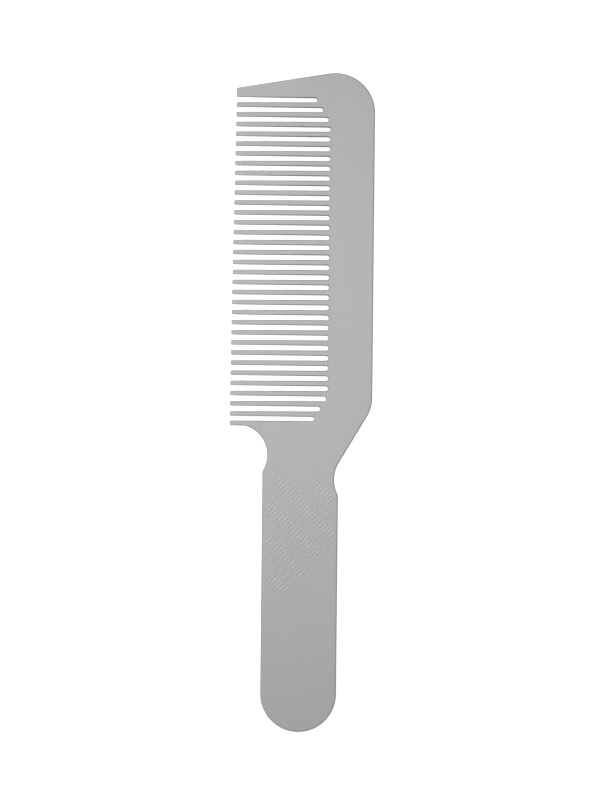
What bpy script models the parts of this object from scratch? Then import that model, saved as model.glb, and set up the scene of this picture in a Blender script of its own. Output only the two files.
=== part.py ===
"""Flat-top barber comb with a handle: one injection moulding in light grey plastic.

The comb lies on its back face. +X runs from the tooth tips to the back edge, +Y from the end of
the handle to the crown, and +Z out of the face that carries the grip relief. The origin is the
middle of the bottom of the bounding box.

The moulding is divided into named zones at its own features: a guard tooth, 32 fine teeth and a
heel tooth, the spine that carries them, the neck and the handle. Neighbouring zones stop a
hairline short of each other. Plan dimensions below are in millimetres, and MM turns them into
metres when a mesh is made.
"""

import math

import bmesh
import bpy

MM = 0.001

# Overall
LENGTH = 225.1
WIDTH = 48.66
PLATE = 3.8  # thickness of spine, neck and handle
RIM = 0.5  # edge rounding of the plate
RIM_SEGMENTS = 2
ZONE_GAP = 0.3  # clearance between neighbouring zones

# Head
CROWN_RADIUS = 13.6
GUARD_SLOPE = math.tan(math.radians(9.3))  # rise of the guard tooth's upper edge
GUARD_LOWER_TIP_Y = 104.08
GUARD_LOWER_ROOT_Y = 103.9
TIP_LINE_LEAN = 0.0125  # the tips stand back this much for each millimetre towards the crown
TIP_LINE_BOW = 0.12  # and the middle of their line stands out by this much
HEEL_UPPER_Y = -6.43
HEEL_LOWER_Y = -8.14

# Fine teeth: the centre of tooth i is at START - PITCH * i - PITCH_GROWTH * i * i
TOOTH_COUNT = 32
TOOTH_START_Y = 104.8
TOOTH_PITCH = 3.31
TOOTH_PITCH_GROWTH = 0.00284
TOOTH_WIDTH_TIP = 1.64
TOOTH_WIDTH_ROOT = 1.82
TOOTH_CORNER = 0.35
TIP_THICKNESS = 1.8
TAPER_START_X = 2.0  # the teeth thin out from here to their tips

# Gaps between the teeth
GAP_END_X = 9.2
GAP_END_CORNER_X = 4.6  # the first and last gaps end about here
ROOT_STUB = 0.6  # the spine carries this much of each tooth, past the rounded gap ends

# Shoulder, neck and notches
SHOULDER_CORNER_Y = -1.68  # where back edge and shoulder line would meet
SHOULDER_ANGLE = math.radians(30.6)  # from the comb's length
SHOULDER_RADIUS = 12.5
HEEL_ARC_CENTRE = (-21.6, -18.07)
HEEL_ARC_RADIUS = 10.24
HEEL_ROOT_X = -14.0
THUMB_ARC_Y = -26.26
THUMB_ARC_RADIUS = 10.92
NOTCH_BLEND_RADIUS = 3.4
NECK_END_Y = -24.9

# Handle and its grip relief
HANDLE_WIDTH = 25.9
RELIEF_HEIGHT = 0.12
RELIEF_SINK = 0.6  # how far each block reaches down into the plate
RELIEF_PITCH = 2.46  # along a row of blocks; the rows fall to the right at 45 degrees
RELIEF_ROW_PITCH = 4.1
RELIEF_ROW_OFFSET = 0.38  # the row nearest the origin passes it at this distance
RELIEF_RUN_END = 42.4  # every row ends this far along from the origin
RELIEF_BLOCK_LENGTH = 1.96
RELIEF_BLOCK_WIDTH = 3.3
RELIEF_MARGIN = 0.65  # from a block's corner to the outline
RELIEF_TOP_Y = -25.15
RELIEF_ROWS = 18
RELIEF_PLACES = 16

# Finish
PLASTIC_COLOUR = (0.38, 0.378, 0.37, 1.0)
PLASTIC_ROUGHNESS = 0.45

# Derived
BACK_X = WIDTH / 2
HALF_GAP = ZONE_GAP / 2
HANDLE_X = HANDLE_WIDTH / 2
HANDLE_END_CENTRE_Y = -LENGTH / 2 + HANDLE_X
CROWN_CENTRE = (BACK_X - CROWN_RADIUS, LENGTH / 2 - CROWN_RADIUS)
SHOULDER_SLOPE = math.tan(SHOULDER_ANGLE)
ROOT_HALF = TOOTH_WIDTH_ROOT / 2
TIP_HALF = TOOTH_WIDTH_TIP / 2


def arc(centre, radius, start, end, steps):
    """Points along an arc between two angles in degrees, both ends included."""
    angles = [math.radians(start + (end - start) * k / steps) for k in range(steps + 1)]
    return [(centre[0] + radius * math.cos(a), centre[1] + radius * math.sin(a)) for a in angles]


def shoulder_x(y):
    """X of the straight shoulder line at a height."""
    return BACK_X + (y - SHOULDER_CORNER_Y) * SHOULDER_SLOPE


def guard_upper_y(x):
    """Height of the guard tooth's upper edge, the tangent of the crown arc."""
    tangent = math.atan(GUARD_SLOPE)
    touch_x = CROWN_CENTRE[0] - CROWN_RADIUS * math.sin(tangent)
    touch_y = CROWN_CENTRE[1] + CROWN_RADIUS * math.cos(tangent)
    return touch_y + (x - touch_x) * GUARD_SLOPE


def tip_x(y):
    """X of the slightly bowed line that joins the tooth tips."""
    share = (y - HEEL_UPPER_Y) / (GUARD_LOWER_TIP_Y - HEEL_UPPER_Y)
    bow = 4 * TIP_LINE_BOW * share * (1 - share)
    return -BACK_X + (y - HEEL_UPPER_Y) * TIP_LINE_LEAN - bow


def tooth_y(i):
    """Centre of fine tooth i, counted from the crown."""
    return TOOTH_START_Y - TOOTH_PITCH * i - TOOTH_PITCH_GROWTH * i * i


def gap_end(k):
    """(centre of the rounded end, its radius) for gap k, which lies above fine tooth k."""
    upper = GUARD_LOWER_ROOT_Y if k == 1 else tooth_y(k - 1) - ROOT_HALF
    lower = HEEL_UPPER_Y if k == TOOTH_COUNT + 1 else tooth_y(k) + ROOT_HALF
    y = (upper + lower) / 2
    radius = (upper - lower) / 2
    from_ends = min(GUARD_LOWER_ROOT_Y - y, y - HEEL_UPPER_Y)
    end_x = min(GAP_END_X, GAP_END_CORNER_X + (from_ends - radius) * SHOULDER_SLOPE)
    return (end_x - radius, y), radius


def root_x(i):
    """X of the face where fine tooth i meets the spine."""
    return min(gap_end(i)[0][0], gap_end(i + 1)[0][0]) - ROOT_STUB


def notch_blend(arc_centre, arc_radius, side):
    """Centre of the round between a notch and the handle's edge, and the angle of the line
    from the notch's centre to it, in degrees. side is -1 on the left and +1 on the right."""
    x = side * (HANDLE_X - NOTCH_BLEND_RADIUS)
    reach = arc_radius + NOTCH_BLEND_RADIUS
    drop = math.sqrt(reach**2 - (x - arc_centre[0]) ** 2)
    angle = math.degrees(math.atan2(-drop, x - arc_centre[0]))
    return (x, arc_centre[1] - drop), angle


def thumb_arc_centre():
    """Centre of the notch on the right, whose arc is the tangent of the shoulder line."""
    x = shoulder_x(THUMB_ARC_Y) + THUMB_ARC_RADIUS / math.cos(SHOULDER_ANGLE)
    return (x, THUMB_ARC_Y)


def arc_angle_at(centre, radius, y):
    """Angle in degrees of the arc point at a height, on the arc's left side."""
    return 180 - math.degrees(math.asin((y - centre[1]) / radius))


def plastic(node):
    """Light grey satin plastic for one zone."""
    material = bpy.data.materials.new(node + "_plastic")
    material.use_nodes = True
    shader = material.node_tree.nodes["Principled BSDF"]
    shader.inputs["Base Color"].default_value = PLASTIC_COLOUR
    shader.inputs["Roughness"].default_value = PLASTIC_ROUGHNESS
    shader.inputs["Metallic"].default_value = 0.0
    material.diffuse_color = PLASTIC_COLOUR
    return material


def link(name, bm):
    """Turns a bmesh into a named object with its own material."""
    bmesh.ops.recalc_face_normals(bm, faces=bm.faces)
    mesh = bpy.data.meshes.new(name)
    bm.to_mesh(mesh)
    bm.free()
    obj = bpy.data.objects.new(name, mesh)
    bpy.context.scene.collection.objects.link(obj)
    mesh.materials.append(plastic(name))
    return obj


def plate(name, stretches):
    """A flat zone with its rim rounded. The outline runs anticlockwise as stretches of
    (points, rim), and the edge that leads to a point belongs to that point's stretch."""
    points = [p for stretch, _ in stretches for p in stretch]
    is_rim = [rim for stretch, rim in stretches for _ in stretch]
    bm = bmesh.new()
    weight = bm.edges.layers.float.new("bevel_weight_edge")
    low = [bm.verts.new((x * MM, y * MM, 0)) for x, y in points]
    high = [bm.verts.new((x * MM, y * MM, PLATE * MM)) for x, y in points]
    bm.faces.new(high)
    bm.faces.new(reversed(low))
    for k in range(len(points)):
        bm.faces.new((low[k - 1], low[k], high[k], high[k - 1]))
        for ring in (low, high):
            bm.edges.get((ring[k - 1], ring[k]))[weight] = float(is_rim[k])
    obj = link(name, bm)
    bevel = obj.modifiers.new("rim", "BEVEL")
    bevel.limit_method = "WEIGHT"
    bevel.width = RIM * MM
    bevel.segments = RIM_SEGMENTS
    return obj


def tooth(name, stations):
    """A tooth lofted from its root to its tip. A station is (x, lower y, upper y, thickness)."""
    bm = bmesh.new()
    rings = []
    for x, lower, upper, thickness in stations:
        bottom = (PLATE - thickness) / 2
        top = (PLATE + thickness) / 2
        corners = ((lower, bottom), (upper, bottom), (upper, top), (lower, top))
        rings.append([bm.verts.new((x * MM, y * MM, z * MM)) for y, z in corners])
    bm.faces.new(rings[0])
    bm.faces.new(reversed(rings[-1]))
    for near, far in zip(rings, rings[1:]):
        for k in range(4):
            bm.faces.new((near[k - 1], near[k], far[k], far[k - 1]))
    return link(name, bm)


def taper(x, start, tip):
    """Thickness of a tooth that thins out evenly from start to its tip."""
    share = min(1.0, max(0.0, (start - x) / (start - tip)))
    return PLATE + (TIP_THICKNESS - PLATE) * share


def stations_to_tip(root, start, tip, lower_y, upper_y, extra=()):
    """Stations from the root to a tip with rounded corners. lower_y and upper_y give the
    edges at any x, start is where the taper begins, and extra adds stations."""
    xs = [root, *extra, tip + TOOTH_CORNER]
    if tip < start < root:
        xs.append(start)
    stations = [(x, lower_y(x), upper_y(x), taper(x, start, tip)) for x in sorted(xs, reverse=True)]
    for angle in (45, 90):
        turn = math.radians(angle)
        x = tip + TOOTH_CORNER * (1 - math.sin(turn))
        inset = TOOTH_CORNER * (1 - math.cos(turn))
        stations.append((x, lower_y(x) + inset, upper_y(x) - inset, taper(x, start, tip)))
    return stations


def fine_tooth(i):
    """Fine tooth i, slightly wider at its root."""
    y = tooth_y(i)
    root = root_x(i) - HALF_GAP
    tip = tip_x(y)

    def half(x):
        return TIP_HALF + (ROOT_HALF - TIP_HALF) * (x - tip) / (root - tip)

    stations = stations_to_tip(
        root, TAPER_START_X, tip, lambda x: y - half(x), lambda x: y + half(x)
    )
    return tooth(f"tooth_{i:02d}", stations)


def guard_tooth():
    """The broad end tooth at the crown, whose upper edge slants down to its tip."""
    root = gap_end(1)[0][0] - ROOT_STUB - HALF_GAP
    tip = tip_x(GUARD_LOWER_TIP_Y)
    slant = (GUARD_LOWER_ROOT_Y - GUARD_LOWER_TIP_Y) / (root - tip)

    def lower_y(x):
        return GUARD_LOWER_TIP_Y + (x - tip) * slant

    return tooth("guard_tooth", stations_to_tip(root, TAPER_START_X, tip, lower_y, guard_upper_y))


def heel_lower_y(x):
    """Lower edge of the heel tooth: level at its tip, then down along the heel arc."""
    across = max(0.0, x - HEEL_ARC_CENTRE[0])
    return min(HEEL_LOWER_Y, HEEL_ARC_CENTRE[1] + math.sqrt(HEEL_ARC_RADIUS**2 - across**2))


def heel_tooth():
    """The last tooth, which flares into the heel arc below it."""
    root = HEEL_ROOT_X - HALF_GAP
    steps = 4
    drop = HEEL_LOWER_Y - HEEL_ARC_CENTRE[1]
    arc_start = HEEL_ARC_CENTRE[0] + math.sqrt(HEEL_ARC_RADIUS**2 - drop**2)
    arc_xs = [arc_start + (root - arc_start) * k / steps for k in range(steps)]
    stations = stations_to_tip(
        root, root, tip_x(HEEL_UPPER_Y), heel_lower_y, lambda x: HEEL_UPPER_Y, arc_xs
    )
    return tooth("heel_tooth", stations)


def spine():
    """Back of the head, from the crown to the heel, with the rounded gap ends and tooth roots."""
    last_centre, last_radius = gap_end(TOOTH_COUNT + 1)
    joint_y = last_centre[1] + HALF_GAP
    joint_angle = math.degrees(math.asin(HALF_GAP / last_radius))
    joint_x = last_centre[0] + last_radius * math.cos(math.radians(joint_angle))
    corner = SHOULDER_RADIUS * math.tan(SHOULDER_ANGLE / 2)
    corner_centre = (BACK_X - SHOULDER_RADIUS, SHOULDER_CORNER_Y + corner)
    guard_x = gap_end(1)[0][0] - ROOT_STUB + HALF_GAP
    crown_end = 90 + math.degrees(math.atan(GUARD_SLOPE))

    outer = [(shoulder_x(joint_y), joint_y)]
    rim = arc(corner_centre, SHOULDER_RADIUS, -math.degrees(SHOULDER_ANGLE), 0, 6)
    rim += arc(CROWN_CENTRE, CROWN_RADIUS, 0, crown_end, 20)
    rim += [(guard_x, guard_upper_y(guard_x))]

    inner = [(guard_x, GUARD_LOWER_ROOT_Y)]
    for k in range(1, TOOTH_COUNT + 2):
        centre, radius = gap_end(k)
        last = k == TOOTH_COUNT + 1
        inner += arc(centre, radius, 90, joint_angle if last else -90, 4 if last else 8)
        if not last:
            face_x = root_x(k) + HALF_GAP
            inner += [(face_x, tooth_y(k) + ROOT_HALF), (face_x, tooth_y(k) - ROOT_HALF)]
    return plate("spine", [(outer, False), (rim, True), (inner, False)])


def neck():
    """The narrowing between head and handle, with a finger notch on each side."""
    gap_centre, gap_radius = gap_end(TOOTH_COUNT + 1)
    joint_y = gap_centre[1] - HALF_GAP
    joint_angle = -math.degrees(math.asin(HALF_GAP / gap_radius))
    low_y = NECK_END_Y + HALF_GAP
    thumb = thumb_arc_centre()
    thumb_start = arc_angle_at(thumb, THUMB_ARC_RADIUS, low_y)
    thumb_end = 180 - math.degrees(SHOULDER_ANGLE)
    blend_centre, blend_angle = notch_blend(HEEL_ARC_CENTRE, HEEL_ARC_RADIUS, -1)
    heel_x = HEEL_ROOT_X + HALF_GAP
    heel_start = math.degrees(math.acos((heel_x - HEEL_ARC_CENTRE[0]) / HEEL_ARC_RADIUS))

    low_joint = [(-HANDLE_X, low_y)]
    right = arc(thumb, THUMB_ARC_RADIUS, thumb_start, thumb_end, 6)
    right += [(shoulder_x(joint_y), joint_y)]
    gap_rim = arc(gap_centre, gap_radius, joint_angle, -90, 4)
    gap_rim += [(heel_x, HEEL_UPPER_Y)]
    left = arc(HEEL_ARC_CENTRE, HEEL_ARC_RADIUS, heel_start, blend_angle, 12)
    left += arc(blend_centre, NOTCH_BLEND_RADIUS, 180 + blend_angle, 180, 4)[1:]
    return plate(
        "neck",
        [
            (low_joint, True),
            (right[:1], False),
            (right[1:], True),
            (gap_rim, False),
            (left[:1], False),
            (left[1:], True),
        ],
    )


def block_corners(run, across):
    """Corners of the relief block centred at a distance along and across the rows."""
    corners = []
    for a, b in ((-1, -1), (1, -1), (1, 1), (-1, 1)):
        along_row = run + a * RELIEF_BLOCK_LENGTH / 2
        to_side = across + b * RELIEF_BLOCK_WIDTH / 2
        corners.append(
            ((along_row + to_side) / math.sqrt(2), (to_side - along_row) / math.sqrt(2))
        )
    return corners


def on_handle(x, y):
    """Whether the corner of a relief block lies well inside the handle's outline."""
    clear_of_notch = math.dist((x, y), thumb_arc_centre()) > THUMB_ARC_RADIUS + RELIEF_MARGIN
    return clear_of_notch and abs(x) < HANDLE_X - RELIEF_MARGIN and y < RELIEF_TOP_Y


def relief_outlines():
    """Outlines of the relief blocks, which stand in rows turned by 45 degrees."""
    outlines = []
    for row in range(RELIEF_ROWS):
        for place in range(RELIEF_PLACES):
            run = RELIEF_RUN_END - RELIEF_BLOCK_LENGTH / 2 - place * RELIEF_PITCH
            corners = block_corners(run, RELIEF_ROW_OFFSET - row * RELIEF_ROW_PITCH)
            if all(on_handle(x, y) for x, y in corners):
                outlines.append(corners)
    return outlines


def relief_blocks():
    """The raised blocks, which reach down into the plate so that they join it."""
    bm = bmesh.new()
    for corners in relief_outlines():
        low = [bm.verts.new((a * MM, b * MM, (PLATE - RELIEF_SINK) * MM)) for a, b in corners]
        high = [bm.verts.new((a * MM, b * MM, (PLATE + RELIEF_HEIGHT) * MM)) for a, b in corners]
        bm.faces.new(high)
        bm.faces.new(reversed(low))
        for k in range(4):
            bm.faces.new((low[k - 1], low[k], high[k], high[k - 1]))
    guide = link("relief_guide", bm)
    guide.hide_render = True
    guide.display_type = "WIRE"
    return guide


def handle():
    """The straight grip with its round end and the raised grip relief on its upper half."""
    high_y = NECK_END_Y - HALF_GAP
    thumb = thumb_arc_centre()
    blend_centre, blend_angle = notch_blend(thumb, THUMB_ARC_RADIUS, 1)
    blend_turn = 180 + blend_angle
    thumb_end = arc_angle_at(thumb, THUMB_ARC_RADIUS, high_y)

    joint = [(-HANDLE_X, high_y)]
    rim = arc((0, HANDLE_END_CENTRE_Y), HANDLE_X, 180, 360, 32)
    rim += arc(blend_centre, NOTCH_BLEND_RADIUS, 0, blend_turn, 4)
    rim += arc(thumb, THUMB_ARC_RADIUS, 180 + blend_turn, thumb_end, 5)[1:]
    obj = plate("handle", [(joint, False), (rim, True)])
    union = obj.modifiers.new("grip_relief", "BOOLEAN")
    union.operation = "UNION"
    union.object = relief_blocks()
    return obj


def main():
    for obj in list(bpy.data.objects):
        bpy.data.objects.remove(obj, do_unlink=True)
    handle()
    neck()
    spine()
    guard_tooth()
    for i in range(1, TOOTH_COUNT + 1):
        fine_tooth(i)
    heel_tooth()


main()
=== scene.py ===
"""Looks for the flat-top barber comb.

Each zone of the moulding gets a finely rounded shell in place of its CAD solid: drafted walls
that meet in a parting line half way up, rounded rims, teeth that thin out to pillowed tips, and
rows of raised bars on the handle as its grip relief. Spine, neck and handle meet flush, and the
teeth reach a little into the shell that carries them, so the comb reads as the one moulding that
it is. Plan dimensions are in millimetres, and MM turns them into metres when a mesh is made.
"""

import math

import bmesh
import bpy
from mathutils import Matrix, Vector


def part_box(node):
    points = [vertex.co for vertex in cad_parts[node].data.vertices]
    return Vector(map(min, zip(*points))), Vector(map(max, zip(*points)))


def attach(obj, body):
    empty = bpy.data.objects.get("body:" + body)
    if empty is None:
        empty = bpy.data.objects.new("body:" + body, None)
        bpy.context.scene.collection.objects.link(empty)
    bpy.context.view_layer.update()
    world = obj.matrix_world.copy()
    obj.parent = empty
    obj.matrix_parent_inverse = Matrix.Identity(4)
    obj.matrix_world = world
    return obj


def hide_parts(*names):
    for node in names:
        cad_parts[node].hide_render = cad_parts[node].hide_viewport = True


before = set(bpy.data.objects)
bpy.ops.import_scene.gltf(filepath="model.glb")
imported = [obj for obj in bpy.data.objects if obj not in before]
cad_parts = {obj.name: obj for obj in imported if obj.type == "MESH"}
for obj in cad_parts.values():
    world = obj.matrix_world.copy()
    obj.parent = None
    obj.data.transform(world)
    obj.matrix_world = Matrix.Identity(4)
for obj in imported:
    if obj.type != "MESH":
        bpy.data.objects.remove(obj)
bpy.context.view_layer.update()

MM = 0.001


def box_mm(node):
    """Lowest and highest corner of a CAD node, in millimetres."""
    low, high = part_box(node)
    return low / MM, high / MM


# Read from the frame
SPINE_LOW, SPINE_HIGH = box_mm("spine")
NECK_LOW = box_mm("neck")[0]
HANDLE_LOW, HANDLE_HIGH = box_mm("handle")
GUARD_LOW, GUARD_HIGH = box_mm("guard_tooth")
HEEL_LOW, HEEL_HIGH = box_mm("heel_tooth")
FINE_TEETH = sorted(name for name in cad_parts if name.startswith("tooth_"))
PLATE = SPINE_HIGH.z
MID = PLATE / 2
BACK_X = SPINE_HIGH.x
HANDLE_X = HANDLE_HIGH.x
HALF_GAP = (NECK_LOW.y - HANDLE_HIGH.y) / 2  # zones meet half way across their gap in CAD
NECK_END_Y = HANDLE_HIGH.y + HALF_GAP
SPINE_END_Y = SPINE_LOW.y - HALF_GAP
HEEL_ROOT_X = HEEL_HIGH.x + HALF_GAP
HEEL_UPPER_Y = HEEL_HIGH.y
GUARD_ROOT_X = GUARD_HIGH.x + HALF_GAP
GUARD_LOWER_ROOT_Y = GUARD_LOW.y

# Plan of the moulding
CROWN_RADIUS = 13.6
GUARD_SLOPE_ANGLE = math.radians(9.3)
GUARD_LOWER_TIP_Y = GUARD_LOWER_ROOT_Y + 0.18
SHOULDER_CORNER_Y = -1.68
SHOULDER_ANGLE = math.radians(30.6)
SHOULDER_RADIUS = 12.5
HEEL_ARC_CENTRE = (-21.6, -18.07)
HEEL_ARC_RADIUS = 10.24
HEEL_LOWER_Y = -8.14
THUMB_ARC_Y = -26.26
THUMB_ARC_RADIUS = 10.92
NOTCH_BLEND_RADIUS = 3.4
SHOULDER_STEPS = 10
CROWN_STEPS = 48
HEEL_ARC_STEPS = 36
THUMB_ARC_STEPS = 12
NOTCH_BLEND_STEPS = 10
HANDLE_END_STEPS = 72

# Teeth and the gaps between them
TIP_THICKNESS = 1.8
TOOTH_WIDTH_TIP = 1.64
TAPER_START_X = 2.0
TAPER_EASE = 0.3  # share of the taper over which it sets in
GAP_END_X = 9.2
GAP_END_CORNER_X = 4.6
GAP_STEPS = 16
TIP_ROUND = 0.35
STATIONS = 12

# Section of the rim
RIM = 0.55  # width and depth of the rounded edge
RIM_STEPS = 5
WALL_DRAFT = 0.04
PARTING_STEP = 0.025  # the parting line stands this proud of the walls
PARTING_HALF = 0.07
HOLD = 0.08  # narrow flat band that keeps the shading of the faces level
GAP_SOFTNESS = 0.6  # rims along the gaps are rounded by this share of RIM
JOIN_DEPTH = 0.3  # a tooth reaches this far into the spine
JOIN_INSET = 0.05

# Mesh building
SHARP_ANGLE = math.radians(40)
LEAST_TURN = 1e-4  # edges that turn by less than this are taken as one straight line
LEAST_EDGE = 1e-7  # in metres: faces thinner than this are dissolved

# Grip relief
RELIEF_HEIGHT = HANDLE_HIGH.z - PLATE
RELIEF_PITCH = 2.46  # along a row of motifs; the rows fall to the right at 45 degrees
RELIEF_ROW_PITCH = 4.1
RELIEF_ROW_OFFSET = 0.38
RELIEF_RUN_END = 42.4
RELIEF_ROWS = 14
RELIEF_PLACES = 16
MOTIF_LENGTH = 1.96
MOTIF_WIDTH = 3.3
RELIEF_MARGIN = 0.65
RELIEF_TOP_Y = -25.15
RELIEF_ROOT = 0.15  # the bars reach this far into the plate
BAR_WIDTH = 0.62
BAR_STEPS = 5
BAR_CROWN = 0.04  # half width of the level strip along the top of a bar
BAR_END_STEPS = 6

# Materials
PLASTIC_LIGHT = (0.388, 0.386, 0.3765, 1.0)
PLASTIC_DARK = (0.372, 0.37, 0.361, 1.0)
# painted shade: colour of the walls and rims, darker where sideways-facing surfaces would be in
# shade
PLASTIC_PAINTED_SHADE = (0.16, 0.158, 0.152, 1.0)
# painted highlight: colour of the tops of the relief
PLASTIC_PAINTED_HIGHLIGHT = (0.5, 0.498, 0.487, 1.0)
PAINTED_HIGHLIGHT_START = 0.4  # the tops of the relief carry a painted highlight from this share of its height
PAINTED_SHADE_FULL = 0.72  # share of the normal that points up or down where the painted shade is full
# share of the normal that points up or down where the painted shade ends
PAINTED_SHADE_NONE = 0.9
MOTTLE_SCALE = 90
MOTTLE_DETAIL = 4
MOTTLE_BUMP = (0.5, 0.00004)  # strength, and depth in metres
STREAK_SCALE = 400
STREAK_DETAIL = 3
STREAK_STRETCH = (1, 0.08, 1)
STREAK_LOW = 0.3
STREAK_HIGH = 0.7
GRAIN_SCALE = 3200
GRAIN_DETAIL = 2
GRAIN_BUMP = (0.4, 0.00002)
EVEN = (1, 1, 1)
ROUGH_LOW = 0.46
ROUGH_HIGH = 0.54
WHITE = (1.0, 1.0, 1.0, 1.0)
FLOOR_COLOUR = (0.6, 0.6, 0.6, 1.0)
FLOOR_ROUGHNESS = 0.9
FLOOR_GLOW = 0.8

# Stage, in metres
FLOOR_RADIUS = 3.0
FLOOR_EDGE = 0.25  # the rim of the table curves up this high, so level views see no horizon
FLOOR_EDGE_STEPS = 8
FLOOR_SIDES = 96
FLOOR_DROP = 0.00002  # keeps the table clear of the comb's flat back
WORLD_STRENGTH = 0.376
LIGHTS = (  # name, place, target, diameter, watts
    ("key", (-0.03, 0.032, 0.235), (-0.03, 0.032, 0), 0.25, 0.37),
    ("side", (-1.2, 0.9, 0.9), (0, 0, 0), 0.5, 12.0),
)
CAMERA_SENSOR = 36.0
CAMERA_HEIGHT = 1.8
VIEW_HEIGHT = 0.2730  # what the camera sees from top to bottom, in metres
CAMERA_X = -0.00034
CAMERA_Y = 0.00078
CAMERA_ROLL = 0.573  # degrees

# Derived
CROWN_CENTRE = (BACK_X - CROWN_RADIUS, SPINE_HIGH.y - CROWN_RADIUS)
SHOULDER_SLOPE = math.tan(SHOULDER_ANGLE)


def arc(centre, radius, start, end, steps):
    """Points along an arc between two angles in degrees, both ends included."""
    angles = [math.radians(start + (end - start) * k / steps) for k in range(steps + 1)]
    return [(centre[0] + radius * math.cos(a), centre[1] + radius * math.sin(a)) for a in angles]


def shoulder_x(y):
    """X of the straight shoulder line at a given Y."""
    return BACK_X + (y - SHOULDER_CORNER_Y) * SHOULDER_SLOPE


def guard_upper_y(x):
    """Y of the guard tooth's upper edge, the tangent of the crown arc."""
    touch_x = CROWN_CENTRE[0] - CROWN_RADIUS * math.sin(GUARD_SLOPE_ANGLE)
    touch_y = CROWN_CENTRE[1] + CROWN_RADIUS * math.cos(GUARD_SLOPE_ANGLE)
    return touch_y + (x - touch_x) * math.tan(GUARD_SLOPE_ANGLE)


def heel_lower_y(x):
    """Lower edge of the heel tooth: level at its tip, then down along the heel arc."""
    across = max(0.0, x - HEEL_ARC_CENTRE[0])
    return min(HEEL_LOWER_Y, HEEL_ARC_CENTRE[1] + math.sqrt(HEEL_ARC_RADIUS**2 - across**2))


def notch_blend(arc_centre, arc_radius, side):
    """Centre of the round between a notch and the handle's edge, and the angle of the line
    from the notch's centre to it, in degrees. side is -1 on the left and +1 on the right."""
    x = side * (HANDLE_X - NOTCH_BLEND_RADIUS)
    drop = math.sqrt((arc_radius + NOTCH_BLEND_RADIUS) ** 2 - (x - arc_centre[0]) ** 2)
    angle = math.degrees(math.atan2(-drop, x - arc_centre[0]))
    return (x, arc_centre[1] - drop), angle


def thumb_arc_centre():
    """Centre of the notch on the right, whose arc is the tangent of the shoulder line."""
    x = shoulder_x(THUMB_ARC_Y) + THUMB_ARC_RADIUS / math.cos(SHOULDER_ANGLE)
    return (x, THUMB_ARC_Y)


def arc_angle_at(centre, radius, y):
    """Angle in degrees of the arc point at a given Y, on the arc's left side."""
    return 180 - math.degrees(math.asin((y - centre[1]) / radius))


def rim_section():
    """The wall from the bottom face to the top face, as (inset, z)."""
    edge = []
    for k in range(RIM_STEPS + 1):
        turn = math.pi / 2 * k / RIM_STEPS
        inset = WALL_DRAFT + (RIM - WALL_DRAFT) * (1 - math.cos(turn))
        edge.append((inset, PLATE - RIM + RIM * math.sin(turn)))
    upper = [(PARTING_STEP, MID + PARTING_HALF), *edge, (RIM + HOLD, PLATE)]
    lower = [(inset, PLATE - z) for inset, z in reversed(upper)]
    return [*lower, (0.0, MID), *upper]


SECTION = rim_section()


def add_shell(name, bm, nodes, material):
    """Turns a bmesh into a smooth-shaded piece that stands for CAD nodes."""
    bmesh.ops.dissolve_degenerate(bm, dist=LEAST_EDGE, edges=bm.edges)
    bmesh.ops.recalc_face_normals(bm, faces=bm.faces)
    mesh = bpy.data.meshes.new(name)
    bm.to_mesh(mesh)
    bm.free()
    mesh.shade_smooth()
    mesh.set_sharp_from_angle(angle=SHARP_ANGLE)
    piece = bpy.data.objects.new(name, mesh)
    bpy.context.scene.collection.objects.link(piece)
    mesh.materials.append(material)
    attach(piece, "root")
    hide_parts(*nodes)


def add_ring(bm, points):
    """Vertices for a closed row of points in millimetres."""
    return [bm.verts.new((x * MM, y * MM, z * MM)) for x, y, z in points]


def bridge(bm, near, far):
    """Faces between two rings with the same number of vertices."""
    for k in range(len(near)):
        bm.faces.new((near[k - 1], near[k], far[k], far[k - 1]))


def inset_outline(outline, distance):
    """The outline with each edge moved inwards by distance times its softness. A point is
    (x, y, softness of the edge that leads to it), and the outline runs anticlockwise."""

    def inward(start, end):
        dx, dy = end[0] - start[0], end[1] - start[1]
        length = math.hypot(dx, dy)
        return -dy / length, dx / length

    moved = []
    for k, here in enumerate(outline):
        after = outline[(k + 1) % len(outline)]
        n1, n2 = inward(outline[k - 1], here), inward(here, after)
        s1, s2 = distance * here[2], distance * after[2]
        turn = n1[0] * n2[1] - n1[1] * n2[0]
        if abs(turn) < LEAST_TURN:
            shift = (n1[0] * s1, n1[1] * s1)
        else:
            shift = ((s1 * n2[1] - s2 * n1[1]) / turn, (n1[0] * s2 - n2[0] * s1) / turn)
        moved.append((here[0] + shift[0], here[1] + shift[1]))
    return moved


def plate_shell(name, stretches, material):
    """A flat zone. Its outline comes as stretches of (points, softness)."""
    outline = [(x, y, softness) for points, softness in stretches for x, y in points]
    bm = bmesh.new()
    rings = []
    for inset, z in SECTION:
        rings.append(add_ring(bm, [(x, y, z) for x, y in inset_outline(outline, inset)]))
    for near, far in zip(rings, rings[1:]):
        bridge(bm, near, far)
    bm.faces.new(reversed(rings[0]))
    bm.faces.new(rings[-1])
    add_shell(name, bm, [name], material)


def taper(x, start, tip):
    """Thickness of a tooth, which sets in softly at start and thins out to its tip."""
    share = min(1.0, max(0.0, (start - x) / (start - tip)))
    eased = share**2 / (2 * TAPER_EASE) if share < TAPER_EASE else share - TAPER_EASE / 2
    return PLATE + (TIP_THICKNESS - PLATE) * eased / (1 - TAPER_EASE / 2)


def tooth_ring(bm, x, lower, upper, thickness, softness):
    """One section across a tooth. softness is (lower side, upper side)."""
    scale = thickness / PLATE
    round_scale = (1 + scale) / 2
    points = []
    for inset, z in SECTION:
        points.append((x, lower + inset * softness[0] * round_scale, MID + (z - MID) * scale))
    for inset, z in reversed(SECTION):
        points.append((x, upper - inset * softness[1] * round_scale, MID + (z - MID) * scale))
    return add_ring(bm, points)


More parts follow.
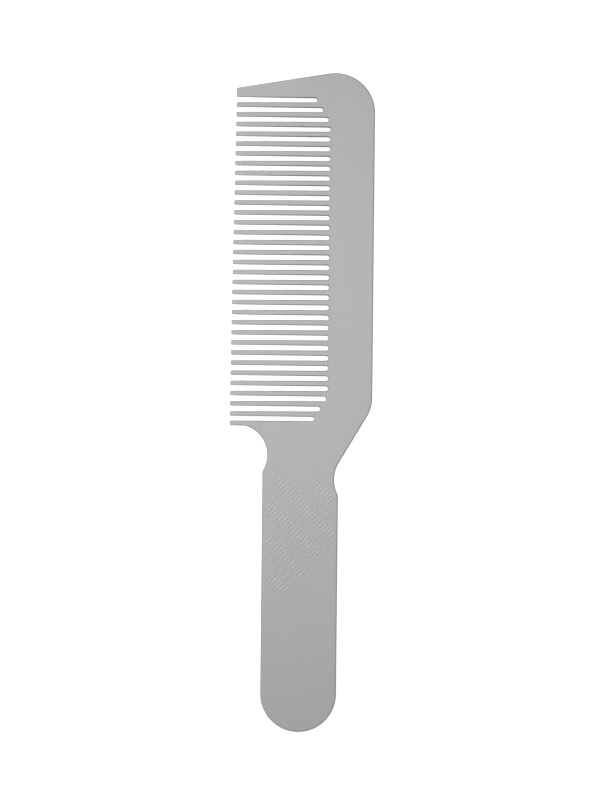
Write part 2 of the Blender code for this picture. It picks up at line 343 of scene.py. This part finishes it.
def tooth_shell(name, root, start, tip, lower_y, upper_y, softness, material):
    """A tooth lofted from inside the zone that carries it to its pillowed tip."""
    bm = bmesh.new()
    thickness = taper(root, start, tip) - 2 * JOIN_INSET
    rings = [
        tooth_ring(
            bm, root + JOIN_DEPTH, lower_y(root) + JOIN_INSET, upper_y(root) - JOIN_INSET,
            thickness, softness,
        )
    ]
    last = tip + TIP_ROUND
    for k in range(STATIONS + 1):
        x = root + (last - root) * k / STATIONS
        rings.append(tooth_ring(bm, x, lower_y(x), upper_y(x), taper(x, start, tip), softness))
    for k in range(1, RIM_STEPS + 1):
        turn = math.pi / 2 * k / RIM_STEPS
        x = tip + TIP_ROUND * (1 - math.sin(turn))
        shrink = TIP_ROUND * (1 - math.cos(turn))
        thickness = taper(x, start, tip) - 2 * shrink
        rings.append(
            tooth_ring(bm, x, lower_y(x) + shrink, upper_y(x) - shrink, thickness, softness)
        )
    for near, far in zip(rings, rings[1:]):
        bridge(bm, near, far)
    bm.faces.new(rings[0])
    bm.faces.new(reversed(rings[-1]))
    add_shell(name, bm, [name], material)


def tooth_edges(name):
    """(centre, half width at the root) of a fine tooth."""
    low, high = box_mm(name)
    return (low.y + high.y) / 2, (high.y - low.y) / 2


def fine_tooth(name, material):
    """A fine tooth, slightly wider at its root."""
    low, high = box_mm(name)
    y, root_half = tooth_edges(name)
    root = high.x + HALF_GAP
    tip_half = TOOTH_WIDTH_TIP / 2

    def half(x):
        return tip_half + (root_half - tip_half) * (x - low.x) / (root - low.x)

    tooth_shell(
        name, root, TAPER_START_X, low.x, lambda x: y - half(x), lambda x: y + half(x),
        (GAP_SOFTNESS, GAP_SOFTNESS), material,
    )


def guard_tooth(material):
    """The broad end tooth at the crown."""
    tip = GUARD_LOW.x
    slant = (GUARD_LOWER_ROOT_Y - GUARD_LOWER_TIP_Y) / (GUARD_ROOT_X - tip)
    tooth_shell(
        "guard_tooth", GUARD_ROOT_X, TAPER_START_X, tip,
        lambda x: GUARD_LOWER_TIP_Y + (x - tip) * slant, guard_upper_y,
        (GAP_SOFTNESS, 1.0), material,
    )


def heel_tooth(material):
    """The thin last tooth, which flares into the heel arc below it."""
    tooth_shell(
        "heel_tooth", HEEL_ROOT_X, HEEL_ROOT_X, HEEL_LOW.x, heel_lower_y,
        lambda x: HEEL_UPPER_Y, (1.0, GAP_SOFTNESS), material,
    )


def gap_end(upper, lower):
    """(centre of the rounded end, its radius) of the gap between two edges at their roots."""
    y = (upper + lower) / 2
    radius = (upper - lower) / 2
    from_ends = min(GUARD_LOWER_ROOT_Y - y, y - HEEL_UPPER_Y)
    end_x = min(GAP_END_X, GAP_END_CORNER_X + (from_ends - radius) * SHOULDER_SLOPE)
    return (end_x - radius, y), radius


def last_gap():
    """The rounded end of the gap above the heel tooth, where spine and neck meet."""
    y, half = tooth_edges(FINE_TEETH[-1])
    return gap_end(y - half, HEEL_UPPER_Y)


def spine(material):
    """Back of the head, from the crown to the heel, with the rounded gap ends."""
    centre, radius = last_gap()
    corner = SHOULDER_RADIUS * math.tan(SHOULDER_ANGLE / 2)
    corner_centre = (BACK_X - SHOULDER_RADIUS, SHOULDER_CORNER_Y + corner)
    crown_end = 90 + math.degrees(GUARD_SLOPE_ANGLE)

    joint = [(shoulder_x(SPINE_END_Y), SPINE_END_Y)]
    rim = arc(corner_centre, SHOULDER_RADIUS, -math.degrees(SHOULDER_ANGLE), 0, SHOULDER_STEPS)
    rim += arc(CROWN_CENTRE, CROWN_RADIUS, 0, crown_end, CROWN_STEPS)
    rim += [(GUARD_ROOT_X, guard_upper_y(GUARD_ROOT_X))]
    stretches = [(joint, 0.0), (rim, 1.0), ([(GUARD_ROOT_X, GUARD_LOWER_ROOT_Y)], 0.0)]
    upper = GUARD_LOWER_ROOT_Y
    for name in FINE_TEETH:
        y, half = tooth_edges(name)
        face_x = box_mm(name)[1].x + HALF_GAP
        gap = arc(*gap_end(upper, y + half), 90, -90, GAP_STEPS)
        stretches.append((gap + [(face_x, y + half)], GAP_SOFTNESS))
        stretches.append(([(face_x, y - half)], 0.0))
        upper = y - half
    stretches.append((arc(centre, radius, 90, 0, GAP_STEPS // 2), GAP_SOFTNESS))
    plate_shell("spine", stretches, material)


def neck(material):
    """The narrowing between head and handle, with a notch on each side."""
    centre, radius = last_gap()
    thumb = thumb_arc_centre()
    thumb_start = arc_angle_at(thumb, THUMB_ARC_RADIUS, NECK_END_Y)
    blend_centre, blend_angle = notch_blend(HEEL_ARC_CENTRE, HEEL_ARC_RADIUS, -1)
    heel_start = math.degrees(math.acos((HEEL_ROOT_X - HEEL_ARC_CENTRE[0]) / HEEL_ARC_RADIUS))
    thumb_end = 180 - math.degrees(SHOULDER_ANGLE)

    right = arc(thumb, THUMB_ARC_RADIUS, thumb_start, thumb_end, THUMB_ARC_STEPS)
    right += [(shoulder_x(SPINE_END_Y), SPINE_END_Y)]
    gap = arc(centre, radius, 0, -90, GAP_STEPS // 2) + [(HEEL_ROOT_X, HEEL_UPPER_Y)]
    left = arc(HEEL_ARC_CENTRE, HEEL_ARC_RADIUS, heel_start, blend_angle, HEEL_ARC_STEPS)
    blend = arc(blend_centre, NOTCH_BLEND_RADIUS, 180 + blend_angle, 180, NOTCH_BLEND_STEPS)
    left += blend[1:]
    left += [(-HANDLE_X, NECK_END_Y)]
    stretches = [(right[:1], 0.0), (right[1:], 1.0), (gap[:1], 0.0), (gap[1:], GAP_SOFTNESS)]
    stretches += [(left[:1], 0.0), (left[1:], 1.0)]
    plate_shell("neck", stretches, material)


def handle(material):
    """The straight grip with its round end."""
    thumb = thumb_arc_centre()
    blend_centre, blend_angle = notch_blend(thumb, THUMB_ARC_RADIUS, 1)
    thumb_end = arc_angle_at(thumb, THUMB_ARC_RADIUS, NECK_END_Y)
    rim = arc((0, HANDLE_LOW.y + HANDLE_X), HANDLE_X, 180, 360, HANDLE_END_STEPS)
    rim += arc(blend_centre, NOTCH_BLEND_RADIUS, 0, 180 + blend_angle, NOTCH_BLEND_STEPS)
    rim += arc(thumb, THUMB_ARC_RADIUS, 360 + blend_angle, thumb_end, THUMB_ARC_STEPS)[1:]
    plate_shell("handle", [([(-HANDLE_X, NECK_END_Y)], 0.0), (rim, 1.0)], material)


def relief_point(run, across):
    """Plan position of a point given along and across the rows of the relief."""
    return (run + across) / math.sqrt(2), (across - run) / math.sqrt(2)


def on_handle(x, y):
    """Whether the corner of a bar lies well inside the handle's outline."""
    clear_of_notch = math.dist((x, y), thumb_arc_centre()) > THUMB_ARC_RADIUS + RELIEF_MARGIN
    return clear_of_notch and abs(x) < HANDLE_X - RELIEF_MARGIN and y < RELIEF_TOP_Y


def relief_bars():
    """(distance along, distance across, length, width) of each bar that lies on the handle.
    Two bars cross the row in each motif of one row, and three lie along it in the next."""
    run_step = (MOTIF_LENGTH - BAR_WIDTH) / 2
    across_step = (MOTIF_WIDTH - BAR_WIDTH) / 2
    bars = []
    for row in range(RELIEF_ROWS):
        middle = RELIEF_ROW_OFFSET - row * RELIEF_ROW_PITCH
        for place in range(RELIEF_PLACES):
            run = RELIEF_RUN_END - MOTIF_LENGTH / 2 - place * RELIEF_PITCH
            if row % 2 == 0:
                bars += [(run + k * run_step, middle, BAR_WIDTH, MOTIF_WIDTH) for k in (-1, 1)]
            else:
                bars += [
                    (run, middle + k * across_step, MOTIF_LENGTH, BAR_WIDTH) for k in (-1, 0, 1)
                ]
    return [bar for bar in bars if bar_fits(*bar)]


def bar_fits(run, across, length, width):
    """Whether all four corners of a bar lie on the handle."""
    corners = [
        relief_point(run + a * length / 2, across + b * width / 2)
        for a in (-1, 1) for b in (-1, 1)
    ]
    return all(on_handle(x, y) for x, y in corners)


def relief_section():
    """Edge of a bar from its root to the level strip on top, as (inset, z)."""
    slope_width = BAR_WIDTH / 2 - BAR_CROWN
    section = [(0.0, PLATE - RELIEF_ROOT), (0.0, PLATE)]
    for k in range(1, BAR_STEPS + 1):
        rise = (1 - math.cos(math.pi * k / BAR_STEPS)) / 2
        section.append((slope_width * k / BAR_STEPS, PLATE + RELIEF_HEIGHT * rise))
    return section


def add_bar(bm, run, across, length, width):
    """One raised bar with round ends. Its centre lies at a distance along and across the rows,
    and it extends by one size along them and by the other across them."""
    half_run = (length - BAR_WIDTH) / 2
    half_across = (width - BAR_WIDTH) / 2
    facing = 0 if half_run > half_across else 90
    rings = []
    for inset, z in relief_section():
        outline = []
        for sign, start in ((1, facing - 90), (-1, facing + 90)):
            centre = (run + sign * half_run, across + sign * half_across)
            outline += arc(centre, BAR_WIDTH / 2 - inset, start, start + 180, BAR_END_STEPS)
        rings.append(add_ring(bm, [(*relief_point(u, v), z) for u, v in outline]))
    for near, far in zip(rings, rings[1:]):
        bridge(bm, near, far)
    bm.faces.new(reversed(rings[0]))
    bm.faces.new(rings[-1])


def grip_relief(material):
    """Raised bars on the handle, in rows whose direction alternates."""
    bm = bmesh.new()
    for bar in relief_bars():
        add_bar(bm, *bar)
    add_shell("grip_relief", bm, ["handle"], material)


def noise(tree, place, scale, detail, stretch):
    """Noise over the object's own coordinates."""
    mapping = tree.nodes.new("ShaderNodeMapping")
    mapping.inputs["Scale"].default_value = stretch
    tree.links.new(place.outputs["Object"], mapping.inputs["Vector"])
    texture = tree.nodes.new("ShaderNodeTexNoise")
    texture.inputs["Scale"].default_value = scale
    texture.inputs["Detail"].default_value = detail
    tree.links.new(mapping.outputs["Vector"], texture.inputs["Vector"])
    return texture.outputs["Fac"]


def mix(tree, factor, first, second):
    """Blend of two colours, each a tuple or an output."""
    blend = tree.nodes.new("ShaderNodeMix")
    blend.data_type = "RGBA"
    tree.links.new(factor, blend.inputs["Factor"])
    for socket, value in (("A", first), ("B", second)):
        if isinstance(value, tuple):
            blend.inputs[socket].default_value = value
        else:
            tree.links.new(value, blend.inputs[socket])
    return blend.outputs["Result"]


def spread(tree, value, low, high, new_low, new_high):
    """The value with its range from low to high mapped to another range."""
    ranged = tree.nodes.new("ShaderNodeMapRange")
    for socket, number in (
        ("From Min", low), ("From Max", high), ("To Min", new_low), ("To Max", new_high),
    ):
        ranged.inputs[socket].default_value = number
    tree.links.new(value, ranged.inputs["Value"])
    return ranged.outputs["Result"]


def bump(tree, height, strength, depth):
    """Bump node for a height."""
    relief = tree.nodes.new("ShaderNodeBump")
    relief.inputs["Strength"].default_value = strength
    relief.inputs["Distance"].default_value = depth
    tree.links.new(height, relief.inputs["Height"])
    return relief


def vertical(tree, vector):
    """Z of a vector."""
    parts = tree.nodes.new("ShaderNodeSeparateXYZ")
    tree.links.new(vector, parts.inputs["Vector"])
    return parts.outputs["Z"]


def painted_shade_mask(tree):
    """Where the painted shade goes: 1 on the walls and rims, 0 on the faces."""
    geometry = tree.nodes.new("ShaderNodeNewGeometry")
    level = tree.nodes.new("ShaderNodeMath")
    level.operation = "ABSOLUTE"
    tree.links.new(vertical(tree, geometry.outputs["Normal"]), level.inputs[0])
    return spread(tree, level.outputs["Value"], PAINTED_SHADE_FULL, PAINTED_SHADE_NONE, 1.0, 0.0)


def painted_highlight_mask(tree, place):
    """Where the painted highlight goes: 1 on the tops of the relief, 0 below its start height.
    """
    start = (PLATE + PAINTED_HIGHLIGHT_START * RELIEF_HEIGHT) * MM
    end = (PLATE + RELIEF_HEIGHT) * MM
    return spread(tree, vertical(tree, place.outputs["Object"]), start, end, 0.0, 1.0)


def comb_plastic():
    """Light grey satin plastic: fine moulded grain, slight mottling and faint flow streaks.
    The walls and rims carry painted shade, and the tops of the relief a painted
    highlight."""
    material = bpy.data.materials.new("comb_plastic")
    material.use_nodes = True
    tree = material.node_tree
    shader = tree.nodes["Principled BSDF"]
    place = tree.nodes.new("ShaderNodeTexCoord")
    mottle = noise(tree, place, MOTTLE_SCALE, MOTTLE_DETAIL, EVEN)
    streaks = noise(tree, place, STREAK_SCALE, STREAK_DETAIL, STREAK_STRETCH)
    grain = noise(tree, place, GRAIN_SCALE, GRAIN_DETAIL, EVEN)

    plain = mix(tree, mottle, PLASTIC_DARK, PLASTIC_LIGHT)
    # painted highlight on the tops of the relief, lighter towards the top of each bar
    plain_with_highlight = mix(tree, painted_highlight_mask(tree, place), plain, PLASTIC_PAINTED_HIGHLIGHT)
    # painted shade on the walls and rims, darker the more the surface turns away from up or down
    colour = mix(tree, painted_shade_mask(tree), plain_with_highlight, PLASTIC_PAINTED_SHADE)
    tree.links.new(colour, shader.inputs["Base Color"])
    roughness = spread(tree, streaks, STREAK_LOW, STREAK_HIGH, ROUGH_LOW, ROUGH_HIGH)
    tree.links.new(roughness, shader.inputs["Roughness"])

    waves = bump(tree, mottle, *MOTTLE_BUMP)
    fine = bump(tree, grain, *GRAIN_BUMP)
    tree.links.new(waves.outputs["Normal"], fine.inputs["Normal"])
    tree.links.new(fine.outputs["Normal"], shader.inputs["Normal"])
    return material


def table():
    """Round white table whose rim curves up."""
    bm = bmesh.new()
    last_angle = 360 - 360 / FLOOR_SIDES
    rings = []
    for k in range(FLOOR_EDGE_STEPS + 1):
        turn = math.pi / 2 * k / FLOOR_EDGE_STEPS
        radius = FLOOR_RADIUS + FLOOR_EDGE * math.sin(turn)
        z = FLOOR_EDGE * (1 - math.cos(turn)) - FLOOR_DROP
        circle = arc((0, 0), radius, 0, last_angle, FLOOR_SIDES - 1)
        rings.append([bm.verts.new((x, y, z)) for x, y in circle])
    bm.faces.new(rings[0])
    for near, far in zip(rings, rings[1:]):
        bridge(bm, far, near)
    mesh = bpy.data.meshes.new("floor")
    bm.to_mesh(mesh)
    bm.free()
    mesh.shade_smooth()
    floor = bpy.data.objects.new("floor", mesh)
    bpy.context.scene.collection.objects.link(floor)
    return floor


def table_material():
    """Matt white that glows a little."""
    material = bpy.data.materials.new("floor_white")
    material.use_nodes = True
    shader = material.node_tree.nodes["Principled BSDF"]
    shader.inputs["Base Color"].default_value = FLOOR_COLOUR
    shader.inputs["Roughness"].default_value = FLOOR_ROUGHNESS
    shader.inputs["Emission Color"].default_value = WHITE
    shader.inputs["Emission Strength"].default_value = FLOOR_GLOW
    return material


def studio_light():
    """Even light from all round, and the lamps."""
    world = bpy.data.worlds.new("studio")
    world.use_nodes = True
    background = world.node_tree.nodes["Background"]
    background.inputs["Color"].default_value = WHITE
    background.inputs["Strength"].default_value = WORLD_STRENGTH
    bpy.context.scene.world = world

    for name, place, target, size, power in LIGHTS:
        light = bpy.data.lights.new(name, "AREA")
        light.shape = "DISK"
        light.size = size
        light.energy = power
        lamp = bpy.data.objects.new(name, light)
        lamp.location = place
        aim = Vector(target) - Vector(place)
        lamp.rotation_euler = aim.to_track_quat("-Z", "Y").to_euler()
        lamp.visible_camera = False
        bpy.context.scene.collection.objects.link(lamp)


def overhead_camera():
    """Camera straight above the comb."""
    data = bpy.data.cameras.new("camera")
    data.lens = CAMERA_SENSOR * CAMERA_HEIGHT / VIEW_HEIGHT
    data.sensor_width = CAMERA_SENSOR
    camera = bpy.data.objects.new("camera", data)
    camera.location = (CAMERA_X, CAMERA_Y, PLATE * MM + CAMERA_HEIGHT)
    camera.rotation_euler = (0, 0, math.radians(CAMERA_ROLL))
    bpy.context.scene.collection.objects.link(camera)
    bpy.context.scene.camera = camera
    bpy.context.scene.view_settings.view_transform = "Standard"


def stage():
    """White table, soft light and the camera."""
    floor = table()
    floor.data.materials.append(table_material())
    studio_light()
    overhead_camera()


plastic = comb_plastic()
spine(plastic)
neck(plastic)
handle(plastic)
grip_relief(plastic)
guard_tooth(plastic)
for tooth_name in FINE_TEETH:
    fine_tooth(tooth_name, plastic)
heel_tooth(plastic)
stage()
